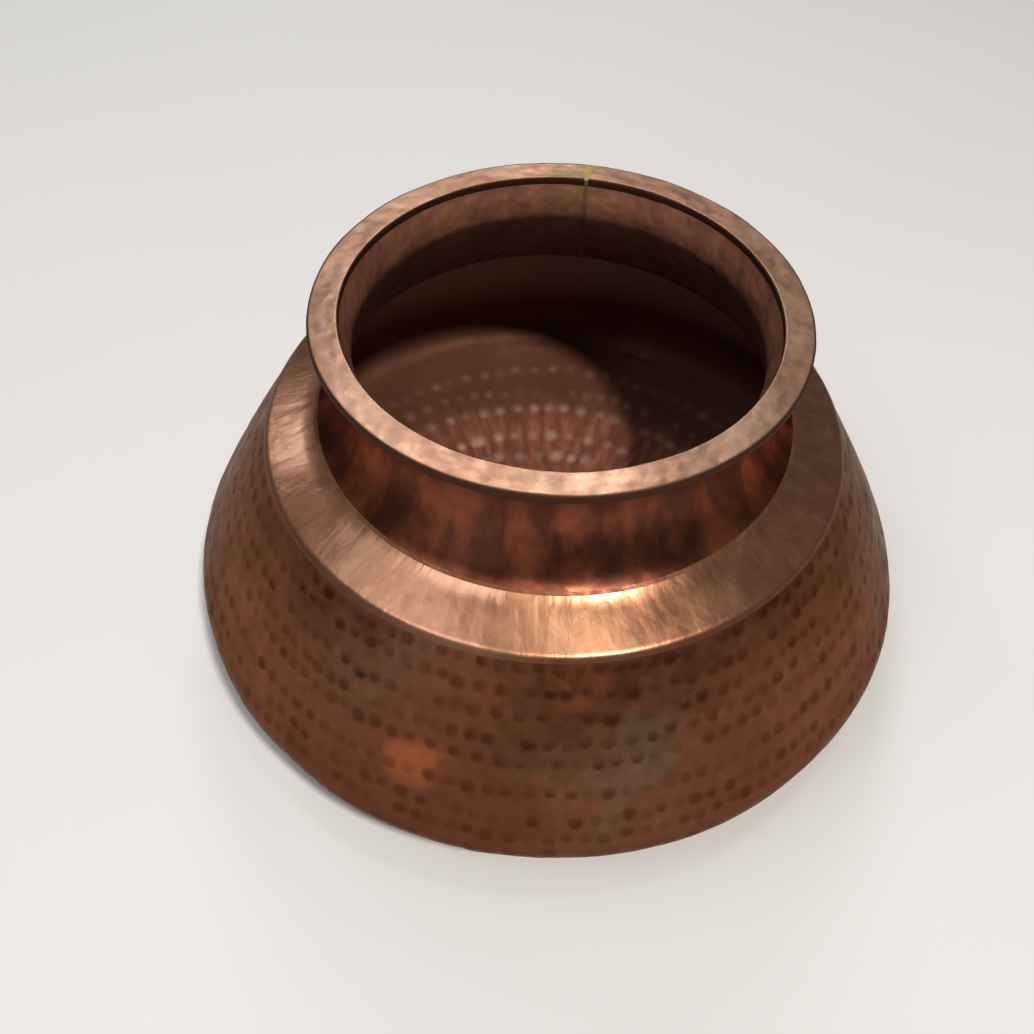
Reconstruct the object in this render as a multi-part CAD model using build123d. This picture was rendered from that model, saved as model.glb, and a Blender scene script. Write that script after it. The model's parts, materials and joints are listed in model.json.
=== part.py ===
from build123d import *
from math import atan2, cos, degrees, radians, sin
import os

# Hammered copper cooking pot: five copper pieces brazed together with brass.
# Millimetres, +Z up. The origin is the middle of the flat that the pot stands on.

# Driving dimensions -------------------------------------------------------------------------
height = 240.0
sheet = 1.5  # thickness of every copper sheet piece

rim_outer_radius = 130.0
rim_width = 16.0
rim_thickness = 5.0
rim_outer_edge_radius = 1.5  # the bar's worn corners
rim_inner_edge_radius = 1.0

lip_angle = 22.0  # the collar leans in by this much just below the rim
lip_radius = 25.0  # bend between the leaning lip and the throat
throat_radius = 111.0  # narrowest outer radius of the collar
throat_height = 219.0
flare_radius = 62.0  # hollow curve from the throat down to the shoulder
flare_angle = 50.0  # lean of the collar where it reaches the shoulder

shoulder_slope = 20.0  # fall of the shoulder, outwards
shoulder_corner_radius = 3.0
skirt_length = 3.5  # the shoulder's edge, folded down over the belly wall

wall_top_lean = 33.5  # lean of the belly wall below the shoulder
wall_bottom_lean = 26.0  # lean of the belly wall where it meets the knuckle
wall_radius = 750.0  # gentle bulge of the belly wall
knuckle_radius = 26.0
belly_radius = 217.5
belly_height = 56.0  # level of the widest line
base_flat_radius = 71.5

seam_azimuth = 85.0  # where the rim bar and the collar strip were each closed
seam_width = 2.5  # brass filled gap between two copper edges
rim_notch_width = 12.0  # the rim's gap is a notch, widest at the outer edge
rim_notch_root = 2.0
fillet_leg = 4.0  # brass fillet under the rim
lap_gap = 1.0  # from the wall's top edge to the underside of the shoulder
shoulder_fill_reach = 5.0  # how far the brass in that corner runs up under the shoulder

# Worked-out places --------------------------------------------------------------------------
rim_inner_radius = rim_outer_radius - rim_width
rim_underside = height - rim_thickness


def polar(centre, radius, angle):
    """Point at this distance and angle in degrees from a centre, in the (radius, height) plane."""
    return (centre[0] + radius * cos(radians(angle)), centre[1] + radius * sin(radians(angle)))


throat_bend = (throat_radius + lip_radius, throat_height)
lip_start = polar(throat_bend, lip_radius, 180 - lip_angle)
lip_length = (rim_underside - lip_start[1]) / cos(radians(lip_angle))
collar_top = polar(lip_start, lip_length, 90 - lip_angle)

flare_centre = (throat_radius + flare_radius, throat_height)
neck_root = polar(flare_centre, flare_radius, 180 + flare_angle)
flare_end_angle = 180 + flare_angle - degrees(seam_width / 2 / flare_radius)

knuckle_centre = (belly_radius - knuckle_radius, belly_height)
wall_bottom = polar(knuckle_centre, knuckle_radius, wall_bottom_lean)
wall_centre = polar(wall_bottom, -wall_radius, wall_bottom_lean)
wall_bend_top = polar(wall_centre, wall_radius, wall_top_lean)

# The dished bottom is one arc, tangent to the knuckle and to the flat that the pot stands on.
dish_drop = belly_height - knuckle_radius
dish_run = knuckle_centre[0] - base_flat_radius
knuckle_end_angle = 90 - 2 * degrees(atan2(dish_drop, dish_run))
dish_radius = knuckle_radius + dish_run / cos(radians(knuckle_end_angle))
dish_centre = (base_flat_radius, dish_radius)
belly_seam_angle = degrees(seam_width / dish_radius)


# Outlines of the outer surfaces, in the (radius, height) plane ------------------------------
def meeting_point(point, angle, other_point, other_angle):
    """Where two straight lines cross, each given by a point and a direction in degrees."""
    direction = (cos(radians(angle)), sin(radians(angle)))
    other = (cos(radians(other_angle)), sin(radians(other_angle)))
    gap = (other_point[0] - point[0], other_point[1] - point[1])
    along = (gap[0] * other[1] - gap[1] * other[0]) / (direction[0] * other[1] - direction[1] * other[0])
    return polar(point, along, angle)


def arc(centre, radius, start, end):
    """Arc of a profile about a centre, from one angle to another in degrees."""
    return CenterArc(centre, radius, start, end - start)


skirt_angle = wall_top_lean - 90  # direction of the skirt and of the wall's straight top, downwards
skirt_outer = polar(wall_bend_top, sheet, wall_top_lean)
shoulder_start = polar(neck_root, seam_width / 2, -shoulder_slope)
shoulder_corner = meeting_point(neck_root, -shoulder_slope, skirt_outer, skirt_angle)
shoulder_inner_corner = meeting_point(
    polar(neck_root, -sheet, 90 - shoulder_slope), -shoulder_slope, wall_bend_top, skirt_angle
)
wall_top = polar(shoulder_inner_corner, lap_gap, skirt_angle)
skirt_end = polar(shoulder_corner, skirt_length, skirt_angle)


def neck_outline():
    above_rim_underside = polar(collar_top, sheet, 90 - lip_angle)
    return (
        Line(above_rim_underside, lip_start)
        + arc(throat_bend, lip_radius, 180 - lip_angle, 180)
        + arc(flare_centre, flare_radius, 180, flare_end_angle)
    )


def shoulder_outline():
    return FilletPolyline(shoulder_start, shoulder_corner, skirt_end, radius=shoulder_corner_radius)


def belly_outline():
    return (
        Line(wall_top, wall_bend_top)
        + arc(wall_centre, wall_radius, wall_top_lean, wall_bottom_lean)
        + arc(knuckle_centre, knuckle_radius, wall_bottom_lean, -knuckle_end_angle)
    )


def belly_seam_outline():
    start = -knuckle_end_angle
    return arc(dish_centre, dish_radius, start, start - belly_seam_angle)


def base_outline():
    start = -knuckle_end_angle - belly_seam_angle
    return arc(dish_centre, dish_radius, start, -90) + Line((base_flat_radius, 0), (0, 0))


# Sections -----------------------------------------------------------------------------------
def sheet_section(outline):
    """Section of a sheet piece: the band of one sheet thickness inside its outer outline."""
    return make_face(offset(Wire(outline.edges()), amount=sheet, side=Side.RIGHT).edges())


def below_rim():
    """Everything under the rim ring, as a flat region that trims a section."""
    return Pos(0, rim_underside - height / 2) * Rectangle(4 * belly_radius, height)


def neck_section():
    return sheet_section(neck_outline()) & below_rim()


def rim_section():
    bar = Rectangle(rim_width, rim_thickness)
    bar = fillet(bar.vertices().group_by(Axis.X)[-1], rim_outer_edge_radius)
    bar = fillet(bar.vertices().group_by(Axis.X)[0], rim_inner_edge_radius)
    return Pos(rim_outer_radius - rim_width / 2, height - rim_thickness / 2) * bar


def rim_seat_section():
    """Brass in the corner between the rim's underside and the outside of the collar."""
    under_rim = (collar_top[0] + fillet_leg, rim_underside)
    on_collar = polar(collar_top, -fillet_leg, 90 - lip_angle)
    return make_face(Polyline(collar_top, under_rim, on_collar, close=True))


def root_braze_section():
    """Brass that fills the gap and softens the bend between the collar's flare and the shoulder."""
    return make_face(
        Polyline(
            polar(flare_centre, flare_radius, flare_end_angle),
            shoulder_start,
            polar(shoulder_start, -sheet, 90 - shoulder_slope),
            polar(flare_centre, flare_radius + sheet, flare_end_angle),
            close=True,
        )
    )


def shoulder_seam_section():
    """Brass in the inside corner where the belly wall runs up under the shoulder."""
    under_shoulder = polar(shoulder_inner_corner, -shoulder_fill_reach, -shoulder_slope)
    wall_edge = polar(wall_top, -sheet, wall_top_lean)
    fill = make_face(Polyline(shoulder_inner_corner, under_shoulder, wall_edge, wall_top, close=True))
    return fill - sheet_section(shoulder_outline())


# Solids -------------------------------------------------------------------------------------
def revolved(section):
    return revolve(Plane.XZ * section, Axis.Z)


def seam_block():
    """Upright slice through the collar at the seam, wide enough for its brass."""
    block = Box(3 * rim_width, seam_width, height)
    return Rot(Z=seam_azimuth) * Pos(throat_radius + rim_width, 0, height / 2) * block


def rim_notch():
    """Wedge cut out of the rim ring where the ends of its bar meet."""
    taper = (rim_notch_width - rim_notch_root) / rim_width
    overrun = rim_width / 8  # runs past both faces of the ring without closing to a point
    inner = rim_inner_radius - overrun
    outer = rim_outer_radius + overrun
    inner_half = (rim_notch_root - taper * overrun) / 2
    outer_half = (rim_notch_width + taper * overrun) / 2
    wedge = Polyline(
        (inner, -inner_half), (outer, -outer_half), (outer, outer_half), (inner, inner_half), close=True
    )
    return Rot(Z=seam_azimuth) * Pos(0, 0, rim_underside) * extrude(make_face(wedge), rim_thickness)


def nodes():
    """Every piece of the pot by name."""
    whole_rim = revolved(rim_section())
    whole_neck = revolved(neck_section())
    return {
        "rim_ring": whole_rim - rim_notch(),
        "rim_joint_braze": whole_rim & rim_notch(),
        "rim_seat_braze": revolved(rim_seat_section()),
        "neck_collar": whole_neck - seam_block(),
        "neck_joint_braze": whole_neck & seam_block(),
        "neck_root_braze": revolved(root_braze_section()),
        "shoulder_ring": revolved(sheet_section(shoulder_outline())),
        "shoulder_seam_braze": revolved(shoulder_seam_section()),
        "belly_wall": revolved(sheet_section(belly_outline())),
        "belly_seam_braze": revolved(sheet_section(belly_seam_outline())),
        "base_bowl": revolved(sheet_section(base_outline())),
    }


os.makedirs("parts", exist_ok=True)
for name, solid in nodes().items():
    export_step(solid, f"parts/{name}.step")
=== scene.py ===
import json
import math
import random

import bmesh
import bpy
import numpy as np
from mathutils import Matrix, Vector, noise
from mathutils.geometry import delaunay_2d_cdt
from mathutils.kdtree import KDTree


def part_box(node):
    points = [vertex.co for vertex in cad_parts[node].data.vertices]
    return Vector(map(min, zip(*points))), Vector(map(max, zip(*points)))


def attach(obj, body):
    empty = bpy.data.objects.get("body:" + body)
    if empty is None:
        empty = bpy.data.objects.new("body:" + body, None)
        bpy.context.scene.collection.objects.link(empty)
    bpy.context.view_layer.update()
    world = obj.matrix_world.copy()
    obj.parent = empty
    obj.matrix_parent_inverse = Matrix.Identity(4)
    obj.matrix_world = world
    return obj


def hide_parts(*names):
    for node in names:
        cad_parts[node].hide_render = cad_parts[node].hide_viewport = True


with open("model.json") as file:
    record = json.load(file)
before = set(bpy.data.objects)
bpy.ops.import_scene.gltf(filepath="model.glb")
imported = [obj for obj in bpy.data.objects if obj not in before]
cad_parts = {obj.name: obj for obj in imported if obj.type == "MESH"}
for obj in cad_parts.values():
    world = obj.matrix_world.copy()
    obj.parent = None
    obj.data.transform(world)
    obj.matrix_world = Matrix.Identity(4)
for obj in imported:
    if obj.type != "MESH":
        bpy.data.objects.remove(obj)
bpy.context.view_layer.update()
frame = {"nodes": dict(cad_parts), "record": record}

# Hammered copper pot, in metres, +Z up. Each copper piece is a closed shell whose two skins lie one
# sheet thickness apart, so a hammer mark that is a hollow outside is a bump inside, as on real sheet.

# Sizes --------------------------------------------------------------------------------------
rim_low, rim_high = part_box("rim_ring")
belly_low, belly_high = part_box("belly_wall")
mouth = next(m for m in frame["record"]["mounts"] if m["name"] == "mouth")

HEIGHT = rim_high.z
RIM_UNDERSIDE = rim_low.z
RIM_OUTER = rim_high.x
RIM_INNER = mouth["dims"]["r_mm"] / 1000
RIM_OUTER_EDGE = 0.0015  # worn corners of the rim bar
RIM_INNER_EDGE = 0.0010
BELLY_RADIUS = belly_high.x

SHEET = 0.0015
LIP_ANGLE = 22.0
LIP_RADIUS = 0.025
THROAT_RADIUS = 0.111
THROAT_HEIGHT = 0.219
FLARE_RADIUS = 0.062
FLARE_ANGLE = 50.0
SHOULDER_SLOPE = 20.0
SHOULDER_CORNER_RADIUS = 0.003
SKIRT_LENGTH = 0.0035
WALL_TOP_LEAN = 33.5
WALL_BOTTOM_LEAN = 26.0
WALL_RADIUS = 0.75
KNUCKLE_RADIUS = 0.026
BELLY_HEIGHT = 0.056
BASE_FLAT_RADIUS = 0.0715
SEAM_AZIMUTH = math.radians(85.0)
SEAM_WIDTH = 0.0025
NOTCH_OUTER = 0.012
NOTCH_ROOT = 0.002
LAP_GAP = 0.001

MARK_SIZE = 0.0076  # across one ball-peen mark
MARK_PITCH = 0.0102  # from one mark to the next along a row
BELLY_FIRST_ROW = 0.0058  # down the wall from its top edge
BELLY_ROW_GAPS = (0.0129, 0.0146, 0.0129, 0.0113, 0.0189, 0.0155, 0.0113, 0.0136, 0.0130)
BASE_MARK_CIRCLES = (0.184, 0.168, 0.153, 0.130, 0.112, 0.094, 0.076)  # radii of the rows on the base
BASE_MARK_SIZE = 0.0100
BASE_MARK_PITCH = 0.0130
WEAR_AND_SHEEN_RADIUS = 0.168  # the inside of the base is worn within this radius, and carries painted glints and painted reflected streaks there
MARK_DEPTH = 0.07  # depth of a hollow as a share of its radius
BELLY_BUMP = 0.015  # height of the bump behind it, where the wall was held against a stake
BASE_BUMP = 0.15  # the same where the sheet hung free
# Stains on the belly wall: azimuth in degrees, height and reach.
GREY_STAINS = ((244, 0.127, 0.044), (272, 0.118, 0.034), (284, 0.114, 0.034))
# The orange stains are partly painted light: those just under the shoulder lift the wall where its ledge
# shades it.
ORANGE_STAINS_AND_GLOW = ((252, 0.096, 0.021), (266, 0.153, 0.034), (276, 0.145, 0.038))
ROOT_FILLET = 0.010  # how far from the collar's root the bend into the shoulder starts

STEP = 0.0004  # spacing of the points that outlines are held as
EDGE_GAP = 0.003  # spacing of the points along a hammered sheet's edges
CALM_EDGE = 0.006  # width of the border in which a hammered sheet's relief dies away
SCATTER = 0.22  # shift of each point from an even grid, as a share of the grid's spacing
MARK_CLEARANCE = 1.4  # how far those points keep off a hammer mark, in mark radii
RIM_LOOP_POINTS = 84  # points round the rim bar's section


# Outlines in the (radius, height) plane -----------------------------------------------------
def polar(centre, radius, angle):
    """Point at this distance and angle in degrees from a centre."""
    turn = math.radians(angle)
    return np.array(centre) + radius * np.array([math.cos(turn), math.sin(turn)])


def line(start, end):
    count = max(2, int(math.dist(start, end) / STEP) + 1)
    return np.linspace(start, end, count)


def arc(centre, radius, start, end):
    count = max(3, int(radius * abs(math.radians(end - start)) / STEP) + 1)
    angles = np.radians(np.linspace(start, end, count))
    return np.column_stack([centre[0] + radius * np.cos(angles), centre[1] + radius * np.sin(angles)])


def meeting_point(point, angle, other_point, other_angle):
    """Where two straight lines cross, each given by a point and a direction in degrees."""
    direction = polar((0, 0), 1, angle)
    other = polar((0, 0), 1, other_angle)
    gap = np.array(other_point) - np.array(point)
    along = (gap[0] * other[1] - gap[1] * other[0]) / (direction[0] * other[1] - direction[1] * other[0])
    return polar(point, along, angle)


class Outline:
    """Outer line of a sheet piece from its upper end to its lower end, with outward normals."""

    def __init__(self, *runs):
        points = np.vstack(runs)
        steps = np.linalg.norm(np.diff(points, axis=0), axis=1)
        doubled = np.concatenate([[False], steps < STEP / 100])
        points = points[~doubled]
        steps = np.linalg.norm(np.diff(points, axis=0), axis=1)
        self.points = points
        self.along = np.concatenate([[0], np.cumsum(steps)])
        self.length = self.along[-1]
        tangents = np.gradient(points, self.along, axis=0)
        tangents /= np.linalg.norm(tangents, axis=1)[:, None]
        self.normals = np.column_stack([-tangents[:, 1], tangents[:, 0]])
        radii = np.maximum(points[:, 0], STEP)
        self.turns = np.concatenate([[0], np.cumsum(steps / (radii[1:] + radii[:-1]) * 2)])

    def at(self, along):
        """Radius, height and outward normal at a distance along the outline."""
        radius = np.interp(along, self.along, self.points[:, 0])
        height = np.interp(along, self.along, self.points[:, 1])
        normal_out = np.interp(along, self.along, self.normals[:, 0])
        normal_up = np.interp(along, self.along, self.normals[:, 1])
        return radius, height, normal_out, normal_up

    def place(self, theta, along, lift):
        """Points in space: angle round the pot, distance along the outline, height off the sheet."""
        radius, height, normal_out, normal_up = self.at(along)
        reach = radius + lift * normal_out
        return np.column_stack([reach * np.cos(theta), reach * np.sin(theta), height + lift * normal_up])


def collar_outline():
    bend = (THROAT_RADIUS + LIP_RADIUS, THROAT_HEIGHT)
    lip_start = polar(bend, LIP_RADIUS, 180 - LIP_ANGLE)
    lip_length = (RIM_UNDERSIDE - lip_start[1]) / math.cos(math.radians(LIP_ANGLE))
    top = polar(lip_start, lip_length, 90 - LIP_ANGLE)
    end_angle = 180 + FLARE_ANGLE - math.degrees(SEAM_WIDTH / 2 / FLARE_RADIUS)
    flare_centre = (THROAT_RADIUS + FLARE_RADIUS, THROAT_HEIGHT)
    return Outline(
        line(top, lip_start),
        arc(bend, LIP_RADIUS, 180 - LIP_ANGLE, 180),
        arc(flare_centre, FLARE_RADIUS, 180, end_angle),
    )


def wall_corners():
    """Centres and joints of the belly wall's arcs."""
    knuckle = np.array([BELLY_RADIUS - KNUCKLE_RADIUS, BELLY_HEIGHT])
    wall_bottom = polar(knuckle, KNUCKLE_RADIUS, WALL_BOTTOM_LEAN)
    wall_centre = polar(wall_bottom, -WALL_RADIUS, WALL_BOTTOM_LEAN)
    bend_top = polar(wall_centre, WALL_RADIUS, WALL_TOP_LEAN)
    return knuckle, wall_centre, bend_top


NECK_ROOT = polar((THROAT_RADIUS + FLARE_RADIUS, THROAT_HEIGHT), FLARE_RADIUS, 180 + FLARE_ANGLE)
SKIRT_ANGLE = WALL_TOP_LEAN - 90


def shoulder_outline():
    bend_top = wall_corners()[2]
    start = polar(NECK_ROOT, SEAM_WIDTH / 2, -SHOULDER_SLOPE)
    corner = meeting_point(NECK_ROOT, -SHOULDER_SLOPE, polar(bend_top, SHEET, WALL_TOP_LEAN), SKIRT_ANGLE)
    half_turn = math.radians(-SHOULDER_SLOPE - SKIRT_ANGLE) / 2
    setback = SHOULDER_CORNER_RADIUS * math.tan(half_turn)
    arc_start = polar(corner, -setback, -SHOULDER_SLOPE)
    arc_end = polar(corner, setback, SKIRT_ANGLE)
    centre = polar(arc_start, -SHOULDER_CORNER_RADIUS, 90 - SHOULDER_SLOPE)
    return Outline(
        line(start, arc_start),
        arc(centre, SHOULDER_CORNER_RADIUS, 90 - SHOULDER_SLOPE, WALL_TOP_LEAN),
        line(arc_end, polar(corner, SKIRT_LENGTH, SKIRT_ANGLE)),
    )


def knuckle_end_angle():
    knuckle = wall_corners()[0]
    drop = BELLY_HEIGHT - KNUCKLE_RADIUS
    return 90 - 2 * math.degrees(math.atan2(drop, knuckle[0] - BASE_FLAT_RADIUS))


def belly_outline():
    knuckle, wall_centre, bend_top = wall_corners()
    inner_corner = meeting_point(
        polar(NECK_ROOT, -SHEET, 90 - SHOULDER_SLOPE), -SHOULDER_SLOPE, bend_top, SKIRT_ANGLE
    )
    return Outline(
        line(polar(inner_corner, LAP_GAP, SKIRT_ANGLE), bend_top),
        arc(wall_centre, WALL_RADIUS, WALL_TOP_LEAN, WALL_BOTTOM_LEAN),
        arc(knuckle, KNUCKLE_RADIUS, WALL_BOTTOM_LEAN, -knuckle_end_angle()),
    )


def base_outline():
    knuckle = wall_corners()[0]
    end_angle = knuckle_end_angle()
    dish_radius = KNUCKLE_RADIUS + (knuckle[0] - BASE_FLAT_RADIUS) / math.cos(math.radians(end_angle))
    start = -end_angle - math.degrees(SEAM_WIDTH / dish_radius)
    return Outline(
        arc((BASE_FLAT_RADIUS, dish_radius), dish_radius, start, -90),
        line((BASE_FLAT_RADIUS, 0), (0, 0)),
    )


# Relief of hammered sheet -------------------------------------------------------------------
def smooth(values):
    values = np.clip(values, 0, 1)
    return values * values * (3 - 2 * values)


def sway(outline, theta, along, size, height, seed):
    """Slow unevenness of a sheet shaped by eye: waves of about this size and height."""
    spots = outline.place(theta, along, 0) / size + seed
    return height * np.array([noise.noise(spot) for spot in spots])


class Facets:
    """Flats left by a planishing hammer: each lies at its own small tilt, and they blend at their edges."""

    def __init__(self, outline, width, length, tilt, seed, blend=0.3):
        rng = random.Random(seed)
        self.squeeze = width / length
        self.blend = (width * blend) ** 2
        self.mean_radius = float(outline.points[:, 0].mean())
        rows = max(1, round(outline.length / length))
        across = round(2 * math.pi * self.mean_radius / width)
        centres = []
        self.tilts = []
        for row in range(-1, rows + 1):
            for column in range(across):
                along = (row + 0.5 + rng.uniform(-0.4, 0.4)) * outline.length / rows
                theta = (column + 0.5 * (row % 2) + rng.uniform(-0.4, 0.4)) * 2 * math.pi / across
                centres.append(self.flat_space(theta, along))
                self.tilts.append(Vector((rng.gauss(0, tilt), rng.gauss(0, tilt), rng.gauss(0, tilt))))
        self.tree = tree_of(centres)

    def flat_space(self, theta, along):
        across = self.mean_radius * math.cos(theta)
        away = self.mean_radius * math.sin(theta)
        return Vector((across, away, along * self.squeeze))

    def lift(self, theta, along):
        return np.array([self.lift_at(*place) for place in zip(theta, along)])

    def lift_at(self, theta, along):
        spot = self.flat_space(theta, along)
        found = self.tree.find_n(spot, 5)
        nearest = found[0][2] ** 2
        weights = [math.exp((nearest - gap**2) / self.blend) for _, _, gap in found]
        lifts = [self.tilts[which].dot(spot - centre) for centre, which, _ in found]
        return sum(w * lift for w, lift in zip(weights, lifts)) / sum(weights)


def tree_of(places):
    tree = KDTree(len(places))
    for index, place in enumerate(places):
        tree.insert(place, index)
    tree.balance()
    return tree


class Marks:
    """Round hollows of a ball-peen hammer, in rows round the pot."""

    def __init__(self, outline, rows, size, pitch, seed):
        rng = random.Random(seed)
        self.outline = outline
        self.size = size
        self.spots = []
        for along in rows:
            self.add_row(along, pitch, rng)
        theta, along = np.array(self.spots)[:, :2].T
        self.tree = tree_of(outline.place(theta, along, 0))

    def add_row(self, along, pitch, rng):
        """One row by eye: uneven spacing, a slow drift up and down, and a few marks left out."""
        radius = float(self.outline.at(along)[0])
        wander = rng.uniform(0, 2 * math.pi)
        theta = rng.uniform(0, 2 * math.pi)
        for _ in range(round(2 * math.pi * radius / pitch)):
            theta += pitch * rng.uniform(0.8, 1.2) / radius
            drift = 0.0009 * math.sin(3 * theta + wander) + 0.0007 * math.sin(7 * theta - wander)
            if rng.random() > 0.07:
                reach = self.size * rng.uniform(0.8, 1.15) / 2
                force = rng.uniform(0.3, 1.0)
                self.spots.append((theta, along + drift + rng.gauss(0, 0.0006), reach, force))

    def nearest(self, theta, along):
        """For each point its two nearest marks: how far off, in mark radii, and the mark itself."""
        for place in self.outline.place(theta, along, 0):
            found = self.tree.find_n(place, 2)
            yield [(gap / self.spots[which][2], self.spots[which]) for _, which, gap in found]

    def lift(self, theta, along, depth):
        """Hollow or bump of each mark, with the low ridge pushed up round it."""
        lifts = []
        for found in self.nearest(theta, along):
            sizes = [(share, depth * reach * force) for share, (_, _, reach, force) in found]
            hollows = [size * max(0.0, 1 - share**2) for share, size in sizes]
            ridges = [ridge(share) * size for share, size in sizes]
            lifts.append(sum(ridges) - max(hollows))
        return np.array(lifts)

    def strength(self, theta, along, edge, fade):
        """How strongly each point is marked: its mark's own force, fading to 0 at `edge` mark radii."""
        values = []
        for found in self.nearest(theta, along):
            values.append(max(spot[3] * min(1.0, (edge - share) / fade) for share, spot in found))
        return np.clip(values, 0, 1)

    def ring_points(self, rings):
        """Mesh points for every mark: rings of points at these shares of its radius."""
        theta = []
        along = []
        for spot_theta, spot_along, reach, _ in self.spots:
            radius = float(self.outline.at(spot_along)[0])
            for share, count in rings:
                for step in range(count):
                    turn = 2 * math.pi * (step + 0.5 * (share > 1)) / count
                    theta.append(spot_theta + share * reach * math.cos(turn) / radius)
                    along.append(spot_along + share * reach * math.sin(turn))
        return np.array(theta), np.array(along)


def ridge(share):
    """Metal pushed up round a mark, as a share of its depth, at this many mark radii from its middle."""
    return 0.14 * math.exp(-(((share - 1.15) / 0.25) ** 2))


# Shells -------------------------------------------------------------------------------------
def scattered(outline, gap, marks, seed):
    """Evenly spread mesh points, kept off the edges and off the hammer marks."""
    rng = random.Random(seed)
    theta = []
    along = []
    row_gap = gap * 0.87
    rows = max(1, round(outline.length / row_gap))
    for row in range(1, rows):
        distance = row * outline.length / rows
        radius = float(outline.at(distance)[0])
        count = max(1, round(2 * math.pi * radius / gap))
        for column in range(count):
            shift = rng.uniform(-SCATTER, SCATTER)
            theta.append((column + 0.5 * (row % 2) + shift) * 2 * math.pi / count)
            along.append(distance + rng.uniform(-SCATTER, SCATTER) * gap)
    theta = np.array(theta)
    along = np.array(along)
    far = np.array([found[0][0] > MARK_CLEARANCE for found in marks.nearest(theta, along)])
    return theta[far], along[far]


def skin(outline, theta, along, edge_count, closed_end):
    """Delaunay triangles over points on the sheet, laid out flat on a plane without much stretch."""
    edges = [0.0] if closed_end else [0.0, outline.length]
    round_trip = np.arange(edge_count) * 2 * math.pi / edge_count
    margin = SHEET * 0.7
    inside = (along > margin) & (along < outline.length - (0 if closed_end else margin))
    theta = np.concatenate([round_trip] * len(edges) + [theta[inside]])
    along = np.concatenate([np.full(edge_count, edge) for edge in edges] + [along[inside]])
    direction = -1 if closed_end else 1
    spread = np.exp(direction * np.interp(along, outline.along, outline.turns))
    flat = [Vector(pair) for pair in zip(spread * np.cos(theta), spread * np.sin(theta))]
    _, _, triangles, sources, _, _ = delaunay_2d_cdt(flat, [], [], 0, 1e-9)
    kept = [list(source)[0] for source in sources]
    faces = [[kept[corner] for corner in face] for face in triangles]
    if not closed_end:
        faces = [face for face in faces if not all(corner < edge_count for corner in face)]
    return theta, along, faces


def make_object(name, vertices, faces):
    mesh = bpy.data.meshes.new(name)
    mesh.from_pydata([tuple(v) for v in vertices], [], faces)
    mesh.validate()
    piece = bpy.data.objects.new(name, mesh)
    bpy.context.scene.collection.objects.link(piece)
    return piece


def finish_mesh(piece, crease_angle=40):
    """Outward normals and smooth shading, with sharp edges only where the sheet was cut."""
    work = bmesh.new()
    work.from_mesh(piece.data)
    bmesh.ops.recalc_face_normals(work, faces=work.faces)
    work.to_mesh(piece.data)
    work.free()
    piece.data.shade_smooth()
    piece.data.set_sharp_from_angle(angle=math.radians(crease_angle))


def paint(piece, name, values):
    """A number at each point of the mesh that the piece's material can read."""
    layer = piece.data.attributes.new(name, "FLOAT", "POINT")
    layer.data.foreach_set("value", np.asarray(values, dtype=np.float32))


# Rings of mesh points round each mark, as a share of its radius and a number of points.
OUTER_RINGS = ((1.25, 10), (0.97, 12), (0.6, 8), (0.0, 1))
INNER_RINGS = ((1.25, 10), (0.9, 10), (0.5, 6), (0.0, 1))


def skin_points(outline, marks, gap, closed_end, edge_count, inner, seed):
    """Places and triangles of one skin, with extra points where the hammer marks are."""
    theta, along = scattered(outline, gap, marks, seed + inner)
    mark_theta, mark_along = marks.ring_points(INNER_RINGS if inner else OUTER_RINGS)
    theta = np.concatenate([theta, mark_theta])
    along = np.concatenate([along, mark_along])
    return skin(outline, theta, along, edge_count, closed_end)


def hammered_shell(name, outline, relief, marks, bump, gap, seed, closed_end=False):
    """Closed shell of one sheet thickness, round the whole pot, with ball-peen marks."""
    edge_count = round(2 * math.pi * float(outline.points[0, 0]) / EDGE_GAP)
    places = []
    faces = []
    marked = []
    for inner in (False, True):
        theta, along, triangles = skin_points(outline, marks, gap, closed_end, edge_count, inner, seed)
        lift = relief(theta, along, inner) + marks.lift(theta, along, bump if inner else MARK_DEPTH)
        lift = lift * smooth(along / CALM_EDGE)
        if not closed_end:
            lift = lift * smooth((outline.length - along) / CALM_EDGE)
        offset = sum(len(part) for part in places)
        faces += [[corner + offset for corner in triangle] for triangle in triangles]
        places.append(outline.place(theta, along, lift - SHEET * inner))
        edge, fade = (1.1, 0.9) if inner else (1.25, 0.5)
        marked.append(marks.strength(theta, along, edge, fade))
    outer_count = len(places[0])
    faces += edge_strips(edge_count, 1 if closed_end else 2, outer_count)
    piece = make_object(name, np.vstack(places), faces)
    finish_mesh(piece)
    paint(piece, "inside", np.arange(len(piece.data.vertices)) >= outer_count)
    paint(piece, "mark", np.concatenate(marked))
    return piece


def grid_shell(name, outline, relief, spacing, start=0.0, end=2 * math.pi):
    """Closed shell of one sheet thickness over a stretch of the circle, on an even grid of points."""
    whole = end - start > 2 * math.pi - 1e-6
    columns = max(2, round((end - start) * float(outline.points[:, 0].mean()) / spacing))
    rows = max(2, round(outline.length / spacing))
    turns = np.linspace(start, end, columns + 1)[: columns if whole else None]
    steps = np.linspace(0, outline.length, rows + 1)
    theta = np.repeat(turns, rows + 1)
    along = np.tile(steps, len(turns))
    outer = outline.place(theta, along, relief(theta, along, False))
    inner = outline.place(theta, along, relief(theta, along, True) - SHEET)
    faces = grid_faces(len(turns), rows + 1, whole)
    piece = make_object(name, np.vstack([outer, inner]), faces)
    finish_mesh(piece)
    paint(piece, "inside", np.arange(2 * len(theta)) >= len(theta))
    return piece, np.tile(theta, 2), np.tile(along, 2)


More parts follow.
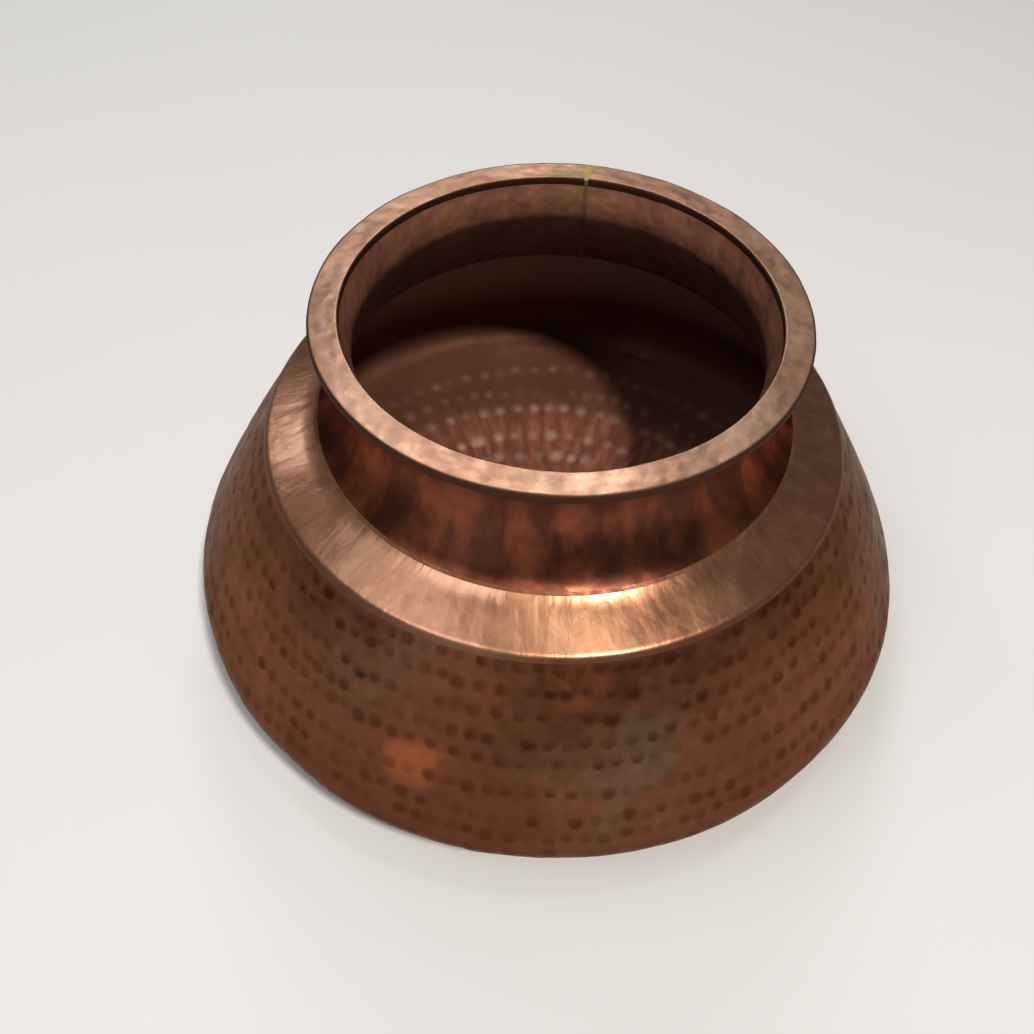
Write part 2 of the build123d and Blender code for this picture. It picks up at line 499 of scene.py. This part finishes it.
def grid_faces(columns, rows, whole):
    """Faces of both skins of a grid shell and of the strips along its edges."""
    def point(column, row, inner):
        return (column % columns) * rows + row + inner * columns * rows

    faces = []
    for column in range(columns if whole else columns - 1):
        for row in range(rows - 1):
            for inner in (False, True):
                near = [point(column, row, inner), point(column, row + 1, inner)]
                far = [point(column + 1, row + 1, inner), point(column + 1, row, inner)]
                faces.append(near + far)
        for row in (0, rows - 1):
            outer_edge = [point(column, row, False), point(column + 1, row, False)]
            inner_edge = [point(column + 1, row, True), point(column, row, True)]
            faces.append(outer_edge + inner_edge)
    for column in () if whole else (0, columns - 1):
        for row in range(rows - 1):
            outer_edge = [point(column, row, False), point(column, row + 1, False)]
            inner_edge = [point(column, row + 1, True), point(column, row, True)]
            faces.append(outer_edge + inner_edge)
    return faces


def edge_strips(edge_count, edges, offset):
    """Faces across the sheet's cut edges, from the outer skin's edge loops to the inner skin's."""
    faces = []
    for edge in range(edges):
        for step in range(edge_count):
            a = edge * edge_count + step
            b = edge * edge_count + (step + 1) % edge_count
            faces.append([a, b, b + offset, a + offset])
    return faces


# Materials ----------------------------------------------------------------------------------
class Graph:
    """A material's node tree, built up by short calls that each return an output socket."""

    def __init__(self, name):
        self.material = bpy.data.materials.new(name)
        self.material.use_nodes = True
        self.tree = self.material.node_tree
        self.tree.nodes.clear()
        self.shader = self.tree.nodes.new("ShaderNodeBsdfPrincipled")
        output = self.tree.nodes.new("ShaderNodeOutputMaterial")
        self.tree.links.new(self.shader.outputs["BSDF"], output.inputs["Surface"])
        self.coordinates = self.node("ShaderNodeTexCoord").outputs["Object"]

    def node(self, kind, **inputs):
        made = self.tree.nodes.new(kind)
        for name, value in inputs.items():
            self.feed(made.inputs[name.replace("_", " ")], value)
        return made

    def feed(self, socket, value):
        if isinstance(value, bpy.types.NodeSocket):
            self.tree.links.new(value, socket)
        else:
            socket.default_value = value

    def attribute(self, name):
        made = self.node("ShaderNodeAttribute")
        made.attribute_name = name
        return made.outputs["Fac"]

    def stretched(self, scale):
        made = self.node("ShaderNodeMapping", Vector=self.coordinates, Scale=scale)
        return made.outputs["Vector"]

    def noise(self, scale, detail=3.0, roughness=0.5, distortion=0.0, vector=None):
        made = self.node(
            "ShaderNodeTexNoise",
            Vector=vector or self.coordinates,
            Scale=scale,
            Detail=detail,
            Roughness=roughness,
            Distortion=distortion,
        )
        return made.outputs["Fac"]

    def vector_math(self, operation, vector, output="Vector"):
        made = self.node("ShaderNodeVectorMath", Vector=vector)
        made.operation = operation
        return made.outputs[output]

    def round_the_pot(self, around, outwards):
        """Coordinates that run round the pot's axis, for streaks that point outwards or down its sides."""
        place = self.node("ShaderNodeSeparateXYZ", Vector=self.coordinates).outputs
        level = self.node("ShaderNodeCombineXYZ", X=place["X"], Y=place["Y"]).outputs["Vector"]
        fall = self.math("SUBTRACT", self.vector_math("LENGTH", level, "Value"), place["Z"])
        heading = self.node("ShaderNodeSeparateXYZ", Vector=self.vector_math("NORMALIZE", level)).outputs
        made = self.node(
            "ShaderNodeCombineXYZ",
            X=self.math("MULTIPLY", heading["X"], around),
            Y=self.math("MULTIPLY", heading["Y"], around),
            Z=self.math("MULTIPLY", fall, outwards),
        )
        return made.outputs["Vector"]

    def height(self):
        return self.node("ShaderNodeSeparateXYZ", Vector=self.coordinates).outputs["Z"]

    def band(self, value, low, high, start=0.0, end=1.0):
        """The value's stretch from low to high, eased and mapped to start..end."""
        made = self.node("ShaderNodeMapRange", Value=value)
        made.interpolation_type = "SMOOTHSTEP"
        made.inputs["From Min"].default_value = low
        made.inputs["From Max"].default_value = high
        made.inputs["To Min"].default_value = start
        made.inputs["To Max"].default_value = end
        return made.outputs["Result"]

    def math(self, operation, first, second):
        made = self.node("ShaderNodeMath")
        made.operation = operation
        self.feed(made.inputs[0], first)
        self.feed(made.inputs[1], second)
        return made.outputs["Value"]

    def mix(self, factor, first, second):
        made = self.node("ShaderNodeMix")
        made.data_type = "RGBA"
        self.feed(made.inputs["Factor"], factor)
        self.feed(made.inputs[6], first if isinstance(first, bpy.types.NodeSocket) else colour(first))
        self.feed(made.inputs[7], second if isinstance(second, bpy.types.NodeSocket) else colour(second))
        return made.outputs[2]

    def blend(self, factor, first, second):
        """The first number where the factor is 0, the second where it is 1."""
        made = self.node("ShaderNodeMix")
        made.data_type = "FLOAT"
        self.feed(made.inputs[0], factor)
        self.feed(made.inputs[2], first)
        self.feed(made.inputs[3], second)
        return made.outputs[0]

    def bump(self, height, strength, distance, under=None):
        made = self.node("ShaderNodeBump", Height=height, Strength=strength, Distance=distance)
        if under is not None:
            self.feed(made.inputs["Normal"], under)
        return made.outputs["Normal"]

    def finish(self, base, roughness, metallic, normal, grazing=(0.60, 0.55, 0.51)):
        self.shader.inputs["Specular Tint"].default_value = (*grazing, 1.0)
        self.shader.inputs["Specular IOR Level"].default_value = 0.2
        self.feed(self.shader.inputs["Base Color"], base)
        self.feed(self.shader.inputs["Roughness"], roughness)
        self.feed(self.shader.inputs["Metallic"], metallic)
        self.feed(self.shader.inputs["Normal"], normal)
        return self.material


def colour(rgb):
    """Linear RGBA from an sRGB triple in 0..255."""
    linear = [(c / 255 / 12.92) if c <= 10 else ((c / 255 + 0.055) / 1.055) ** 2.4 for c in rgb]
    return (*linear, 1.0)


def belly_outside(g, grain, clouds):
    """Brown tarnish with grey and orange patches, the orange ones partly painted glow, painted shade darker
    towards the bottom, and dark patina in the hammer marks deepened by painted shade.
    """
    patches = g.noise(7.0, detail=5.0, roughness=0.6, distortion=0.5, vector=g.stretched((1, 1, 1.6)))
    patches = g.math("ADD", patches, g.math("MULTIPLY", g.attribute("grey"), 0.16))
    # Orange stains, partly painted glow under the shoulder's ledge.
    patches = g.math("SUBTRACT", patches, g.math("MULTIPLY", g.attribute("orange_stain_and_glow"), 0.27))
    tone = g.mix(g.band(clouds, 0.35, 0.65), (116, 70, 49), (136, 85, 60))
    tone = g.mix(g.band(patches, 0.54, 0.76, 0.0, 0.8), tone, (122, 98, 76))
    tone = g.mix(g.band(patches, 0.44, 0.18, 0.0, 0.7), tone, (182, 102, 62))
    tone = g.mix(g.band(grain, 0.35, 0.75, 0.0, 0.3), tone, (92, 54, 38))
    # Painted shade: the wall's colour darkens towards the bottom.
    tone = g.mix(g.band(g.height(), 0.12, 0.03, 0.0, 0.45), tone, (72, 42, 30))
    # Dark patina in the hammer marks, deepened as painted shade in place of the hollows' own shading.
    return g.mix(g.math("MULTIPLY", g.attribute("mark"), 0.66), tone, (78, 35, 22))


def belly_inside(g, clouds, rub_and_glint):
    """Dull brown, painted lighter and greyer higher up as painted fill light, and redder where the base is
    worn, with painted reflected streaks there; the bumps are rubbed bright and carry painted glints.
    """
    reflection_streaks = g.noise(1.0, detail=3.0, distortion=0.2, vector=g.round_the_pot(20.0, 60.0))
    wear_and_sheen = g.math("MULTIPLY", g.attribute("wear_and_sheen"), g.band(reflection_streaks, 0.30, 0.75, 0.2, 0.8))
    tone = g.mix(g.band(clouds, 0.35, 0.65), (98, 61, 46), (118, 75, 56))
    # Painted light: the upper inner wall is lighter and greyer, standing in for fill light in the dark
    # inside.
    tone = g.mix(g.band(g.height(), 0.06, 0.12), tone, (146, 132, 128))
    # Redder streaks on the worn base, partly wear and partly painted reflections.
    tone = g.mix(wear_and_sheen, tone, (196, 120, 98))
    # Bumps rubbed bright, partly wear and partly painted glints.
    return g.mix(rub_and_glint, tone, (236, 196, 180))


def belly_material(name, bump_rub_and_glint):
    """Tarnished hammered copper, with its bumps inside polished, and painted with glints, this much where
    the sheet is worn.
    """
    g = Graph(name)
    inside = g.attribute("inside")
    clouds = g.noise(9.0, detail=4.0, distortion=0.6)
    grain = g.noise(140.0, detail=4.0)
    # How strongly the inner bumps are polished and painted with glints.
    rub_and_glint_share = g.band(g.attribute("wear_and_sheen"), 0.0, 1.0, 0.15 * bump_rub_and_glint, bump_rub_and_glint)
    rub_and_glint = g.math("MULTIPLY", g.attribute("mark"), rub_and_glint_share)
    base = g.mix(inside, belly_outside(g, grain, clouds), belly_inside(g, clouds, rub_and_glint))
    wear = g.noise(60.0, detail=5.0)
    rough_outside = g.band(wear, 0.3, 0.7, 0.30, 0.44)
    rough_inside = g.math("SUBTRACT", g.band(wear, 0.3, 0.7, 0.46, 0.58), g.math("MULTIPLY", rub_and_glint, 0.25))
    roughness = g.blend(inside, rough_outside, rough_inside)
    scratches = g.noise(900.0, detail=2.0, vector=g.stretched((1, 1, 0.25)))
    normal = g.bump(scratches, 0.10, 0.0004)
    normal = g.bump(grain, 0.18, 0.0008, normal)
    return g.finish(base, roughness, g.blend(inside, 0.95, 0.3), normal)


def shoulder_material():
    """Planished copper: a soft sheen under a thin bright film, with veins that run down the slope, painted
    lighter and darker along them as painted sheen and shade.
    """
    g = Graph("shoulder_copper")
    inside = g.attribute("inside")
    clouds = g.noise(10.0, detail=4.0, distortion=0.5)
    grain = g.noise(160.0, detail=3.0)
    veins_and_sheen = g.noise(1.0, detail=3.0, distortion=0.2, vector=g.round_the_pot(24.0, 55.0))
    outer = g.mix(g.band(clouds, 0.35, 0.65), (180, 122, 88), (198, 140, 104))
    # Painted sheen and shade: lighter and darker streaks along the veins.
    outer = g.mix(g.band(veins_and_sheen, 0.50, 0.72, 0.0, 0.35), outer, (220, 168, 130))
    outer = g.mix(g.band(veins_and_sheen, 0.46, 0.30, 0.0, 0.35), outer, (150, 96, 70))
    outer = g.mix(g.band(grain, 0.4, 0.8, 0.0, 0.25), outer, (140, 84, 58))
    edge = g.attribute("edge")
    # Duller rolled edge, darkened most on its skirt as painted shade under the corner.
    outer = g.mix(edge, outer, (104, 70, 54))
    base = g.mix(inside, outer, (84, 52, 40))
    roughness = g.blend(edge, g.band(g.noise(45.0, detail=4.0), 0.3, 0.7, 0.26, 0.34), 0.55)
    roughness = g.blend(inside, roughness, 0.5)
    normal = g.bump(veins_and_sheen, 0.25, 0.0010)
    g.shader.inputs["Coat IOR"].default_value = 1.8
    g.shader.inputs["Coat Roughness"].default_value = 0.18
    g.feed(g.shader.inputs["Coat Weight"], g.blend(inside, g.blend(edge, 0.65, 0.0), 0.0))
    g.feed(g.shader.inputs["Coat Normal"], normal)
    normal = g.bump(grain, 0.08, 0.0006, normal)
    return g.finish(base, roughness, g.blend(inside, 0.9, 0.5), normal)


def collar_material():
    """Dark oxidised copper, in upright columns of brown and orange that are painted reflections of the
    hammer flats, with painted shade under the rim and below the lip inside, and fine hammer dimples inside.
    """
    g = Graph("collar_copper")
    inside = g.attribute("inside")
    columns = g.noise(1.0, detail=4.0, distortion=0.2, vector=g.round_the_pot(7.0, 18.0))
    grain = g.noise(150.0, detail=3.0)
    # Painted reflections: upright dark and orange columns standing in for the hammer flats' mirrored
    # panels.
    outer = g.mix(g.band(columns, 0.38, 0.66), (90, 52, 41), (140, 78, 54))
    outer = g.mix(g.band(grain, 0.4, 0.8, 0.0, 0.3), outer, (66, 36, 28))
    inner = g.mix(g.band(columns, 0.40, 0.62), (142, 94, 74), (158, 106, 82))
    # Painted shade: darker under the rim outside and below the lip inside.
    base = g.mix(g.attribute("painted_shade"), g.mix(inside, outer, inner), (62, 36, 29))
    base = g.mix(g.attribute("smear"), base, (138, 108, 70))
    wear = g.noise(50.0, detail=4.0)
    roughness = g.blend(inside, g.band(wear, 0.3, 0.7, 0.28, 0.40), g.band(wear, 0.3, 0.7, 0.42, 0.55))
    normal = g.bump(grain, 0.12, 0.0006)
    normal = g.bump(g.noise(110.0, detail=1.0), g.blend(inside, 0.1, 0.6), 0.0025, normal)
    return g.finish(base, roughness, g.blend(inside, 0.85, 0.45), normal, (0.25, 0.19, 0.16))


def rim_material():
    """Pale worn copper, filed flat, with painted shade on its sides and underside."""
    g = Graph("rim_copper")
    shaded_side = g.attribute("shaded_side")
    clouds = g.noise(30.0, detail=4.0)
    grain = g.noise(220.0, detail=4.0)
    base = g.mix(g.band(clouds, 0.35, 0.65), (190, 144, 118), (206, 162, 136))
    base = g.mix(g.band(grain, 0.45, 0.8, 0.0, 0.4), base, (160, 112, 86))
    base = g.mix(g.attribute("smear"), base, (150, 128, 92))
    # Painted shade on the bar's sides and underside, with duller metal.
    base = g.mix(shaded_side, base, (72, 44, 34))
    roughness = g.blend(shaded_side, g.band(g.noise(80.0, detail=4.0), 0.3, 0.7, 0.28, 0.42), 0.65)
    normal = g.bump(grain, 0.2, 0.0005)
    return g.finish(base, roughness, g.blend(shaded_side, 0.88, 0.5), normal)


def braze_material(name, tone, fleck, metallic=0.7):
    """Brass filler as it flowed and dulled, with flecks of another tone."""
    g = Graph(name)
    grain = g.noise(260.0, detail=4.0)
    base = g.mix(g.band(g.noise(90.0, detail=3.0), 0.5, 0.62), tone, fleck)
    # Painted shade where the piece carries it, as on the collar's joint.
    base = g.mix(g.attribute("painted_shade"), base, (62, 36, 29))
    roughness = g.band(grain, 0.3, 0.7, 0.34, 0.50)
    normal = g.bump(grain, 0.3, 0.0006)
    return g.finish(base, roughness, metallic, normal)


# Pieces -------------------------------------------------------------------------------------
def add_belly_wall():
    outline = belly_outline()
    rows = BELLY_FIRST_ROW + np.concatenate([[0], np.cumsum(BELLY_ROW_GAPS)])
    marks = Marks(outline, rows[rows < outline.length - 0.005], MARK_SIZE, MARK_PITCH, 11)
    facets = Facets(outline, 0.013, 0.016, 0.014, 12)

    def relief(theta, along, inner):
        flats = facets.lift(theta, along) * (0.3 if inner else 1.0)
        return flats + sway(outline, theta, along, 0.06, 0.0008, 3.0)

    piece = hammered_shell("belly_wall_shell", outline, relief, marks, BELLY_BUMP, 0.0035, 21)
    paint_stains(piece, "grey", GREY_STAINS, outline)
    paint_stains(piece, "orange_stain_and_glow", ORANGE_STAINS_AND_GLOW, outline)
    dress(piece, belly_material("belly_copper", 0.15), "belly_copper", "belly_wall")


def add_base_bowl():
    outline = base_outline()
    rows = np.interp(-np.array(BASE_MARK_CIRCLES), -outline.points[:, 0], outline.along)
    marks = Marks(outline, rows, BASE_MARK_SIZE, BASE_MARK_PITCH, 31)
    facets = Facets(outline, 0.018, 0.018, 0.010, 32)
    flat = outline.length - BASE_FLAT_RADIUS

    def relief(theta, along, inner):
        flats = facets.lift(theta, along) * (0.3 if inner else 1.0)
        lift = flats + sway(outline, theta, along, 0.07, 0.0004, 7.0)
        return lift * (1 - smooth((along - flat + 0.02) / 0.02))

    piece = hammered_shell("base_bowl_shell", outline, relief, marks, BASE_BUMP, 0.005, 41, closed_end=True)
    reach = np.array([math.hypot(v.co.x, v.co.y) for v in piece.data.vertices])
    # Worn base within this radius, where the painted glints and painted reflected streaks go as well.
    paint(piece, "wear_and_sheen", smooth((WEAR_AND_SHEEN_RADIUS - reach) / 0.03))
    dress(piece, belly_material("base_copper", 0.8), "base_copper", "base_bowl")


def paint_stains(piece, name, stains, outline):
    """Round patches on the wall, strongest in the middle: stains, and where the orange ones lie under the
    shoulder also painted glow.
    """
    places = np.array([vertex.co for vertex in piece.data.vertices])
    values = np.zeros(len(places))
    for azimuth, height, reach in stains:
        radius = float(np.interp(-height, -outline.points[:, 1], outline.points[:, 0]))
        middle = (*polar((0, 0), radius, azimuth), height)
        gaps = np.linalg.norm(places - np.array(middle), axis=1)
        values = np.maximum(values, smooth(1.2 - gaps / reach))
    paint(piece, name, values)


def root_fillet(distance):
    """Lift that rounds the bend between the collar and the shoulder, by distance from its middle."""
    half_bend = math.radians(90 - FLARE_ANGLE - SHOULDER_SLOPE) / 2
    radius = ROOT_FILLET / math.tan(half_bend)
    return np.maximum(0, ROOT_FILLET - distance) ** 2 / (2 * radius)


def root_unevenness(outline, theta, along, reach):
    """Slow sway and fine ripples that the collar, its root and the shoulder share."""
    return ripples(theta, reach) + sway(outline, theta, along, 0.05, 0.0003, 11.0)


def ripples(theta, reach):
    """Fine unevenness of hand-worked sheet, by angle and distance from the bend at the collar's root."""
    lifts = []
    for angle, distance in zip(theta, reach):
        around = Vector((NECK_ROOT[0] * math.cos(angle), NECK_ROOT[0] * math.sin(angle), distance))
        long_wave = noise.noise(Vector((around.x / 0.007, around.y / 0.007, around.z / 0.022)))
        short_wave = noise.noise(Vector((around.x / 0.0035, around.y / 0.0035, around.z / 0.008)))
        lifts.append(0.00010 * long_wave + 0.00003 * short_wave)
    return np.array(lifts)


def add_shoulder_ring():
    outline = shoulder_outline()

    def relief(theta, along, inner):
        reach = along + SEAM_WIDTH / 2
        return root_unevenness(outline, theta, along, reach) + root_fillet(reach)

    piece, _, along = grid_shell("shoulder_ring_shell", outline, relief, 0.0012)
    # Rolled edge of the shoulder: duller metal, and painted shade on its skirt.
    paint(piece, "edge", 0.8 * smooth((along - outline.length + 0.005) / 0.003))
    dress(piece, shoulder_material(), "shoulder_copper", "shoulder_ring")


def neck_relief(outline):
    """Relief of the collar: upright hammer flats, small dents, ripples and the rounded bend at its root."""
    flats = Facets(outline, 0.013, 0.040, 0.022, 62, blend=0.6)
    dents = Facets(outline, 0.008, 0.010, 0.012, 63, blend=0.6)

    def relief(theta, along, inner):
        reach = along - outline.length - SEAM_WIDTH / 2
        lift = flats.lift(theta, along) * (0.3 if inner else 1.0)
        lift = lift + dents.lift(theta, along) * (2.4 if inner else 0.7)
        free = smooth(along / 0.003) * smooth((outline.length - along) / 0.006)
        return lift * free + root_unevenness(outline, theta, along, reach) + root_fillet(-reach)

    return relief


def add_neck():
    """The collar strip and the brass that closes it, with one relief running across both."""
    outline = collar_outline()
    relief = neck_relief(outline)
    half = SEAM_WIDTH / 2 / THROAT_RADIUS
    start = SEAM_AZIMUTH + half
    end = SEAM_AZIMUTH - half + 2 * math.pi
    collar, theta, along = grid_shell("neck_collar_shell", outline, relief, 0.0017, start, end)
    turn = np.angle(np.exp(1j * (theta - SEAM_AZIMUTH))) * THROAT_RADIUS
    paint(collar, "smear", smooth(1.4 - np.abs(turn) / 0.008) * smooth(1.5 - along / 0.008))
    # Painted shade under the rim and below the lip.
    paint(collar, "painted_shade", neck_painted_shade(along))
    dress(collar, collar_material(), "neck_copper", "neck_collar")
    joint, _, along = grid_shell("neck_joint_fill", outline, relief, 0.0012, start - 2 * half, start)
    paint(joint, "painted_shade", neck_painted_shade(along))
    neck_braze = braze_material("neck_braze", (124, 84, 64), (138, 94, 70), 0.45)
    dress(joint, neck_braze, "brass_braze", "neck_joint_braze")


def neck_painted_shade(along):
    """Painted shade under the rim on the outer skin, and painted shade below the lip on the inner skin that
    follows it.
    """
    inside = np.arange(len(along)) >= len(along) // 2
    shade_under_rim = 0.7 * (1 - smooth((along - 0.008) / 0.034))
    return np.where(inside, 0.85 * smooth((along - 0.016) / 0.005), shade_under_rim)


def add_root_bead():
    """Brass bead between the collar and the shoulder, dressed flush and rounded like its neighbours."""
    collar_end = collar_outline().points[-1]
    shoulder_start = shoulder_outline().points[0]
    outline = Outline(line(collar_end, NECK_ROOT), line(NECK_ROOT, shoulder_start))

    def relief(theta, along, inner):
        reach = along - outline.length / 2
        return root_unevenness(outline, theta, along, reach) + root_fillet(np.abs(reach))

    piece, _, _ = grid_shell("root_bead", outline, relief, 0.0012)
    root_braze = braze_material("root_braze", (122, 78, 54), (140, 92, 64), 0.5)
    dress(piece, root_braze, "brass_braze", "neck_root_braze")


def rim_section():
    """Loop of points round the rim bar's section, as (radius, height), with its worn corners."""
    outer = RIM_OUTER_EDGE
    inner = RIM_INNER_EDGE
    runs = [
        line((RIM_INNER + inner, HEIGHT), (RIM_OUTER - outer, HEIGHT)),
        arc((RIM_OUTER - outer, HEIGHT - outer), outer, 90, 0),
        line((RIM_OUTER, HEIGHT - outer), (RIM_OUTER, RIM_UNDERSIDE + outer)),
        arc((RIM_OUTER - outer, RIM_UNDERSIDE + outer), outer, 0, -90),
        line((RIM_OUTER - outer, RIM_UNDERSIDE), (RIM_INNER + inner, RIM_UNDERSIDE)),
        arc((RIM_INNER + inner, RIM_UNDERSIDE + inner), inner, 270, 180),
        line((RIM_INNER, RIM_UNDERSIDE + inner), (RIM_INNER, HEIGHT - inner)),
        arc((RIM_INNER + inner, HEIGHT - inner), inner, 180, 90),
    ]
    outline = Outline(*runs)
    return outline, np.arange(RIM_LOOP_POINTS) * outline.length / RIM_LOOP_POINTS


def notch_half_angle(radius):
    """Half the angle that the rim's notch takes up at this radius."""
    taper = (NOTCH_OUTER - NOTCH_ROOT) / (RIM_OUTER - RIM_INNER)
    return np.arcsin((NOTCH_ROOT + taper * (radius - RIM_INNER)) / 2 / radius)


def rim_lift(place):
    """Unevenness of the hand-filed bar."""
    return 0.0004 * noise.noise(Vector(place) / 0.030) + 0.0001 * noise.noise(Vector(place) / 0.006)


def swept_faces(count, around):
    """Faces of a closed section of this many points swept over this many steps, with its two ends."""
    faces = [list(range(count)), [around * count + step for step in range(count)]]
    for ring in range(around):
        for step in range(count):
            a = ring * count + step
            b = ring * count + (step + 1) % count
            faces.append([a, b, b + count, a + count])
    return faces


def add_rim(name, around, fills_notch, node, material, slot):
    """The rim bar, or the brass that fills its notch: one section swept over its share of the circle."""
    outline, steps = rim_section()
    radius, height, normal_out, normal_up = outline.at(steps)
    half = notch_half_angle(radius)
    places = []
    turns = []
    for share in np.linspace(0, 1, around + 1):
        turn = half * (2 * share - 1) if fills_notch else half + share * (2 * math.pi - 2 * half)
        theta = SEAM_AZIMUTH + turn
        flat = np.column_stack([radius * np.cos(theta), radius * np.sin(theta), height])
        lift = np.array([rim_lift(place) for place in flat])
        reach = radius + lift * normal_out
        level = height + lift * normal_up
        places.append(np.column_stack([reach * np.cos(theta), reach * np.sin(theta), level]))
        turns.append(turn)
    piece = make_object(name, np.vstack(places), swept_faces(len(steps), around))
    finish_mesh(piece, 50)
    paint_rim(piece, np.concatenate(turns), np.tile(radius, around + 1), np.tile(height, around + 1))
    dress(piece, material, slot, node)


def paint_rim(piece, turn, radius, height):
    """Brass smeared beside the joint on the top's inner half, and painted shade down the sides and
    underneath.
    """
    past_joint = np.degrees(np.angle(np.exp(1j * turn)))
    beside_joint = smooth((past_joint + 2) / 2) * smooth((12 - past_joint) / 3)
    paint(piece, "smear", 0.8 * beside_joint * smooth((RIM_INNER + 0.010 - radius) / 0.004))
    outer_side = smooth((radius - RIM_OUTER + 0.0018) / 0.0009)
    inner_side = smooth((RIM_INNER + 0.0012 - radius) / 0.0008)
    underside = height < RIM_UNDERSIDE + 0.0012
    paint(piece, "shaded_side", np.maximum(np.maximum(outer_side, inner_side), underside))


def dress(piece, material, slot, *nodes):
    """Material, body and CAD nodes of a finished piece."""
    piece.data.materials.append(material)
    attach(piece, "root")
    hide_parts(*nodes)


def dress_cad_brazes():
    """Filler that was scoured and tarnished with the copper round it."""
    tarnished = braze_material("tarnished_braze", (104, 66, 50), (112, 72, 55), 0.35)
    for name in ("rim_seat_braze", "shoulder_seam_braze", "belly_seam_braze"):
        node = frame["nodes"][name]
        node.data.materials.clear()
        node.data.materials.append(tarnished)


# Stage --------------------------------------------------------------------------------------
def add_camera():
    data = bpy.data.cameras.new("camera")
    data.sensor_width = 36.0
    data.lens = 36.83
    camera = bpy.data.objects.new("camera", data)
    bpy.context.scene.collection.objects.link(camera)
    camera.location = (0.0, -0.4288, 0.5918)
    looking_at = Vector((-0.0174, -0.0446, 0.12))
    roll = math.radians(1.71)
    aim = (looking_at - camera.location).to_track_quat("-Z", "Y").to_matrix().to_4x4()
    camera.matrix_world = Matrix.Translation(camera.location) @ aim @ Matrix.Rotation(roll, 4, "Z")
    bpy.context.scene.camera = camera


def add_floor():
    reach = 2.2
    corners = [(-reach, -reach, 0), (reach, -reach, 0), (reach, reach, 0), (-reach, reach, 0)]
    floor = make_object("floor", corners, [[0, 1, 2, 3]])
    g = Graph("floor_paint")
    tone = g.mix(g.noise(3.0), (246, 245, 244), (250, 249, 248))
    floor.data.materials.append(g.finish(tone, 0.85, 0.0, g.bump(g.noise(60.0), 0.02, 0.001)))
    floor.location.z = -0.0005


def add_light(name, direction, distance, size, power, tone=(1, 1, 1)):
    """Round soft light that shines on the pot from this direction."""
    data = bpy.data.lights.new(name, "AREA")
    data.shape = "DISK"
    data.size = size
    data.energy = power
    data.color = tone
    light = bpy.data.objects.new(name, data)
    bpy.context.scene.collection.objects.link(light)
    target = Vector((0, 0, HEIGHT / 2))
    light.location = target + Vector(direction).normalized() * distance
    light.rotation_euler = (target - light.location).to_track_quat("-Z", "Y").to_euler()


def add_lights():
    world = bpy.data.worlds.new("world")
    world.use_nodes = True
    world.node_tree.nodes["Background"].inputs["Color"].default_value = (0.9, 0.93, 1.0, 1)
    world.node_tree.nodes["Background"].inputs["Strength"].default_value = 0.09
    bpy.context.scene.world = world
    add_light("key", (0.30, -0.525, 1.0), 3.0, 0.26, 54, (1.0, 0.95, 0.88))
    add_light("fill", (-0.42, -0.42, 1.0), 2.4, 1.0, 7.0)
    add_light("lamp", (0.09, -0.07, 0.98), 2.2, 0.20, 2.0, (1.0, 0.96, 0.88))
    add_light("left_window", (-0.67, 0.54, 0.60), 2.0, 0.4, 2.2, (0.95, 0.97, 1.0))
    add_light("back_window", (-0.05, 0.66, 0.75), 2.2, 0.75, 6.4)
    add_light("ceiling", (-0.45, 0.05, 0.90), 2.4, 1.2, 3.5)
    add_light("front_wall", (-0.55, -1.0, 0.30), 2.4, 1.5, 4.2)


add_camera()
add_floor()
add_lights()
add_belly_wall()
add_base_bowl()
add_shoulder_ring()
add_neck()
add_root_bead()
add_rim("rim_bar", 720, False, "rim_ring", rim_material(), "rim_copper")
yellow_braze = braze_material("yellow_braze", (184, 152, 100), (196, 170, 116))
add_rim("rim_joint_fill", 10, True, "rim_joint_braze", yellow_braze, "brass_braze")
dress_cad_brazes()
bpy.context.scene.view_settings.view_transform = "Standard"
